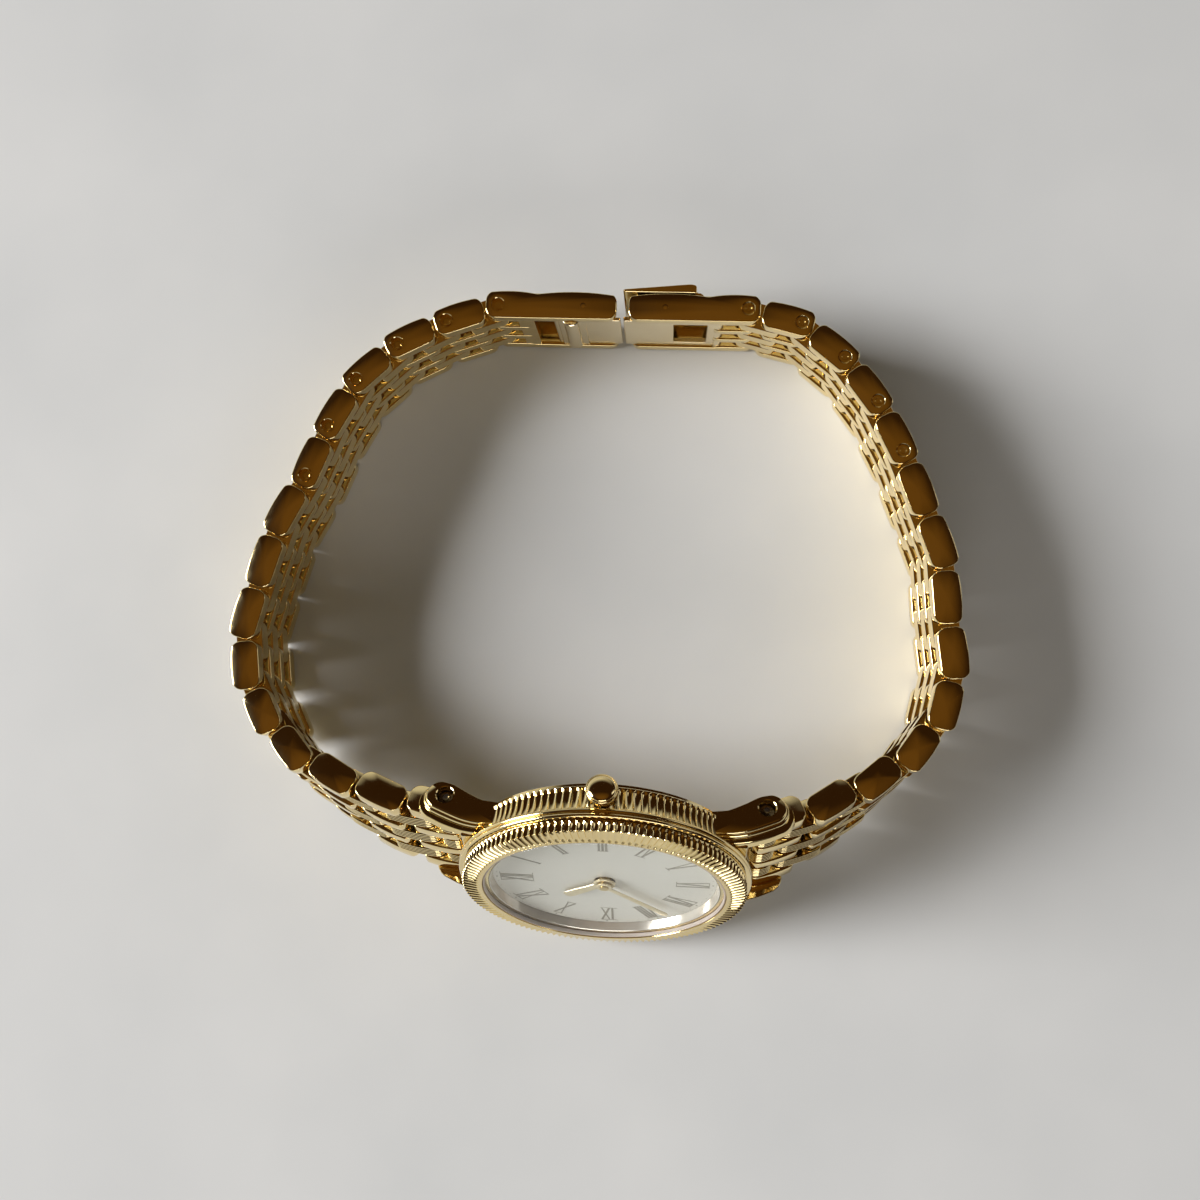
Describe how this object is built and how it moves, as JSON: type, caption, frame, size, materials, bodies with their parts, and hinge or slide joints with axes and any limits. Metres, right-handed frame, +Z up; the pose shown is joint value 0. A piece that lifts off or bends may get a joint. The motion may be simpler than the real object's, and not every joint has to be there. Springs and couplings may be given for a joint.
{
  "type": "round case watch",
  "caption": "Round wristwatch with a fluted bezel, Roman dial, two hands and a closed jointed link bracelet, lying on its side.",
  "frame": {"origin": "middle of the object's box, at the level it rests on", "axes": "+Z up, +X along the longest extent towards six o'clock, -Y towards the dial side"},
  "size_m": [0.07, 0.0648, 0.0241],
  "materials": {
    "yellow_gold": "polished yellow gold",
    "pale_gold": "polished pale gold",
    "steel": "bright steel",
    "plate_brass": "machined brass",
    "dial_white": "silver white lacquer",
    "mark_grey": "grey gold print",
    "glass": "clear polished",
    "white_plastic": "moulded",
    "copper": "enamelled copper wire",
    "board_green": "printed circuit board"
  },
  "bodies": {
    "head": {"case_middle": "yellow_gold", "polished_ring": "yellow_gold", "fluted_bezel": "yellow_gold", "crystal": "glass", "crystal_gasket": "white_plastic", "rehaut": "steel", "dial": "dial_white", "hour_marks": "mark_grey", "mainplate": "plate_brass", "train_bridge": "steel", "stator": "steel", "coil": "copper", "circuit_board": "board_green", "battery": "steel", "casing_ring": "white_plastic", "crown_tube": "steel", "case_back": "yellow_gold", "spring_bars": "steel"},
    "hour_train": {"hour_hand": "pale_gold", "hour_wheel": "plate_brass"},
    "minute_train": {"minute_hand": "pale_gold", "centre_wheel": "plate_brass"},
    "minute_wheel": {"minute_wheel": "plate_brass"},
    "third_wheel": {"third_wheel": "plate_brass"},
    "rotor": {"rotor": "steel"},
    "stem": {"stem": "steel"},
    "crown": {"crown": "yellow_gold"},
    "end_link_left": {"end_link_left": "yellow_gold"},
    "link_left_01": {"link_left_01": "yellow_gold"},
    "link_left_02": {"link_left_02": "yellow_gold"},
    "link_left_03": {"link_left_03": "yellow_gold"},
    "link_left_04": {"link_left_04": "yellow_gold"},
    "link_left_05": {"link_left_05": "yellow_gold"},
    "link_left_06": {"link_left_06": "yellow_gold"},
    "link_left_07": {"link_left_07": "yellow_gold"},
    "link_left_08": {"link_left_08": "yellow_gold"},
    "link_left_09": {"link_left_09": "yellow_gold"},
    "link_left_10": {"link_left_10": "yellow_gold"},
    "link_left_11": {"link_left_11": "yellow_gold"},
    "link_left_12": {"link_left_12": "yellow_gold"},
    "link_left_13": {"link_left_13": "yellow_gold"},
    "end_link_right": {"end_link_right": "yellow_gold"},
    "link_right_01": {"link_right_01": "yellow_gold"},
    "link_right_02": {"link_right_02": "yellow_gold"},
    "link_right_03": {"link_right_03": "yellow_gold"},
    "link_right_04": {"link_right_04": "yellow_gold"},
    "link_right_05": {"link_right_05": "yellow_gold"},
    "link_right_06": {"link_right_06": "yellow_gold"},
    "link_right_07": {"link_right_07": "yellow_gold"},
    "link_right_08": {"link_right_08": "yellow_gold"},
    "link_right_09": {"link_right_09": "yellow_gold"},
    "link_right_10": {"link_right_10": "yellow_gold"},
    "link_right_11": {"link_right_11": "yellow_gold"},
    "link_right_12": {"link_right_12": "yellow_gold"},
    "clasp_left": {"clasp_left": "yellow_gold"},
    "clasp_right": {"clasp_right": "yellow_gold"},
    "clasp_cover": {"clasp_cover": "yellow_gold"},
    "clasp_tab": {"clasp_tab": "pale_gold"},
    "clasp_blade": {"clasp_blade": "pale_gold"}
  },
  "joints": [
    {"name": "hinge_left_00", "type": "hinge", "parent": "head", "child": "end_link_left", "pos_m": [-0.01235, -0.02093, 0.01018], "axis": [0, 0.5358, 0.8443], "range_deg": [0, 10.2]},
    {"name": "hinge_left_01", "type": "hinge", "parent": "end_link_left", "child": "link_left_01", "pos_m": [-0.01755, -0.02013, 0.00968], "axis": [0, 0.489, 0.8723], "range_deg": [0, 13.1]},
    {"name": "hinge_left_02", "type": "hinge", "parent": "link_left_01", "child": "link_left_02", "pos_m": [-0.0224, -0.01831, 0.00865], "axis": [0, 0.389, 0.9212], "range_deg": [0, 6.1]},
    {"name": "hinge_left_03", "type": "hinge", "parent": "link_left_02", "child": "link_left_03", "pos_m": [-0.02699, -0.01591, 0.00764], "axis": [0, 0.2773, 0.9608], "range_deg": [0, 19.1]},
    {"name": "hinge_left_04", "type": "hinge", "parent": "link_left_03", "child": "link_left_04", "pos_m": [-0.03048, -0.0121, 0.00654], "axis": [0, 0.1418, 0.9899], "range_deg": [0, 13.1]},
    {"name": "hinge_left_05", "type": "hinge", "parent": "link_left_04", "child": "link_left_05", "pos_m": [-0.03298, -0.0075, 0.00588], "axis": [0, 0.0442, 0.999], "range_deg": [0, 21.1]},
    {"name": "hinge_left_06", "type": "hinge", "parent": "link_left_05", "child": "link_left_06", "pos_m": [-0.03363, -0.00226, 0.00565], "axis": [0, 0.0157, 0.9999], "range_deg": [0, 21.1]},
    {"name": "hinge_left_07", "type": "hinge", "parent": "link_left_06", "child": "link_left_07", "pos_m": [-0.03235, 0.00286, 0.00557], "axis": [0, 0.0157, 0.9999], "range_deg": [0, 4]},
    {"name": "hinge_left_08", "type": "hinge", "parent": "link_left_07", "child": "link_left_08", "pos_m": [-0.03088, 0.00793, 0.00549], "axis": [0, 0.0157, 0.9999], "range_deg": [0, 11.1]},
    {"name": "hinge_left_09", "type": "hinge", "parent": "link_left_08", "child": "link_left_09", "pos_m": [-0.02846, 0.01262, 0.00542], "axis": [0, 0.0157, 0.9999], "range_deg": [0, 4]},
    {"name": "hinge_left_10", "type": "hinge", "parent": "link_left_09", "child": "link_left_10", "pos_m": [-0.02654, 0.01754, 0.00534], "axis": [0, 0.0157, 0.9999], "range_deg": [0, 7.1]},
    {"name": "hinge_left_11", "type": "hinge", "parent": "link_left_10", "child": "link_left_11", "pos_m": [-0.02401, 0.02217, 0.00527], "axis": [0, 0.0157, 0.9999], "range_deg": [0, 18.1]},
    {"name": "hinge_left_12", "type": "hinge", "parent": "link_left_11", "child": "link_left_12", "pos_m": [-0.02017, 0.0258, 0.00521], "axis": [0, 0.0157, 0.9999], "range_deg": [0, 16.1]},
    {"name": "hinge_left_13", "type": "hinge", "parent": "link_left_12", "child": "link_left_13", "pos_m": [-0.01548, 0.02821, 0.00517], "axis": [0, 0.0157, 0.9999], "range_deg": [0, 8.1]},
    {"name": "hinge_left_14", "type": "hinge", "parent": "link_left_13", "child": "clasp_left", "pos_m": [-0.01048, 0.02993, 0.00514], "axis": [0, 0.0157, 0.9999], "range_deg": [0, 19.1]},
    {"name": "hinge_right_00", "type": "hinge", "parent": "head", "child": "end_link_right", "pos_m": [0.01624, -0.02093, 0.01018], "axis": [0, -0.5358, -0.8443], "range_deg": [0, 21.9]},
    {"name": "hinge_right_01", "type": "hinge", "parent": "end_link_right", "child": "link_right_01", "pos_m": [0.02114, -0.01926, 0.00912], "axis": [0, -0.4389, -0.8985], "range_deg": [0, 13]},
    {"name": "hinge_right_02", "type": "hinge", "parent": "link_right_01", "child": "link_right_02", "pos_m": [0.02547, -0.01655, 0.0078], "axis": [0, -0.3033, -0.9529], "range_deg": [0, 6]},
    {"name": "hinge_right_03", "type": "hinge", "parent": "link_right_02", "child": "link_right_03", "pos_m": [0.02946, -0.01325, 0.00675], "axis": [0, -0.1762, -0.9844], "range_deg": [0, 14]},
    {"name": "hinge_right_04", "type": "hinge", "parent": "link_right_03", "child": "link_right_04", "pos_m": [0.03249, -0.00899, 0.00599], "axis": [0, -0.0676, -0.9977], "range_deg": [0, 22]},
    {"name": "hinge_right_05", "type": "hinge", "parent": "link_right_04", "child": "link_right_05", "pos_m": [0.03368, -0.00386, 0.00564], "axis": [0, -0.0162, -0.9999], "range_deg": [0, 21]},
    {"name": "hinge_right_06", "type": "hinge", "parent": "link_right_05", "child": "link_right_06", "pos_m": [0.03295, 0.00137, 0.00555], "axis": [0, -0.0157, -0.9999], "range_deg": [0, 4]},
    {"name": "hinge_right_07", "type": "hinge", "parent": "link_right_06", "child": "link_right_07", "pos_m": [0.03248, 0.00663, 0.00547], "axis": [0, -0.0157, -0.9999], "range_deg": [0, 16]},
    {"name": "hinge_right_08", "type": "hinge", "parent": "link_right_07", "child": "link_right_08", "pos_m": [0.03059, 0.01155, 0.00539], "axis": [0, -0.0157, -0.9999], "range_deg": [0, 4]},
    {"name": "hinge_right_09", "type": "hinge", "parent": "link_right_08", "child": "link_right_09", "pos_m": [0.0286, 0.01645, 0.00532], "axis": [0, -0.0157, -0.9999], "range_deg": [0, 5]},
    {"name": "hinge_right_10", "type": "hinge", "parent": "link_right_09", "child": "link_right_10", "pos_m": [0.0262, 0.02115, 0.00524], "axis": [0, -0.0157, -0.9999], "range_deg": [0, 10]},
    {"name": "hinge_right_11", "type": "hinge", "parent": "link_right_10", "child": "link_right_11", "pos_m": [0.02301, 0.02536, 0.00518], "axis": [0, -0.0157, -0.9999], "range_deg": [0, 14]},
    {"name": "hinge_right_12", "type": "hinge", "parent": "link_right_11", "child": "link_right_12", "pos_m": [0.0189, 0.02867, 0.00512], "axis": [0, -0.0157, -0.9999], "range_deg": [0, 25]},
    {"name": "hinge_right_13", "type": "hinge", "parent": "link_right_12", "child": "clasp_right", "pos_m": [0.01378, 0.02993, 0.0051], "axis": [0, -0.0157, -0.9999], "range_deg": [0, 13.8]},
    {"name": "minute_turn", "type": "hinge", "parent": "head", "child": "minute_train", "pos_m": [0.00194, -0.02261, 0.01125], "axis": [0, 0.8443, -0.5358], "continuous": true},
    {"name": "hour_turn", "type": "hinge", "parent": "head", "child": "hour_train", "pos_m": [0.00194, -0.02304, 0.01152], "axis": [0, 0.8443, -0.5358], "continuous": true},
    {"name": "minute_wheel_turn", "type": "hinge", "parent": "head", "child": "minute_wheel", "pos_m": [0.00085, -0.02439, 0.00882], "axis": [0, 0.8443, -0.5358], "continuous": true},
    {"name": "third_wheel_turn", "type": "hinge", "parent": "head", "child": "third_wheel", "pos_m": [0.00063, -0.0197, 0.01211], "axis": [0, 0.8443, -0.5358], "continuous": true},
    {"name": "rotor_turn", "type": "hinge", "parent": "head", "child": "rotor", "pos_m": [0.00183, -0.01859, 0.01386], "axis": [0, 0.8443, -0.5358], "continuous": true},
    {"name": "crown_pull", "type": "slide", "parent": "head", "child": "stem", "axis": [0, 0.5358, 0.8443], "range_m": [0, 0.0008]},
    {"name": "crown_turn", "type": "hinge", "parent": "stem", "child": "crown", "pos_m": [0.00194, -0.0152, 0.02283], "axis": [0, 0.5358, 0.8443], "continuous": true},
    {"name": "cover_hinge", "type": "hinge", "parent": "clasp_right", "child": "clasp_cover", "pos_m": [0.00907, 0.03123, 0.00508], "axis": [0, -0.0157, -0.9999], "range_deg": [0, 75]},
    {"name": "tab_hinge", "type": "hinge", "parent": "clasp_left", "child": "clasp_tab", "pos_m": [-0.00488, 0.02933, 0.00515], "axis": [0, -0.0157, -0.9999], "range_deg": [0, 45]},
    {"name": "blade_hinge", "type": "hinge", "parent": "clasp_right", "child": "clasp_blade", "pos_m": [0.01103, 0.02933, 0.00511], "axis": [0, 0.0157, 0.9999], "range_deg": [0, 60]}
  ],
  "couplings": [
    {"joint": "hour_turn", "follows": "minute_turn", "ratio": 0.083333},
    {"joint": "minute_wheel_turn", "follows": "minute_turn", "ratio": -0.33333},
    {"joint": "third_wheel_turn", "follows": "minute_turn", "ratio": -10}
  ]
}
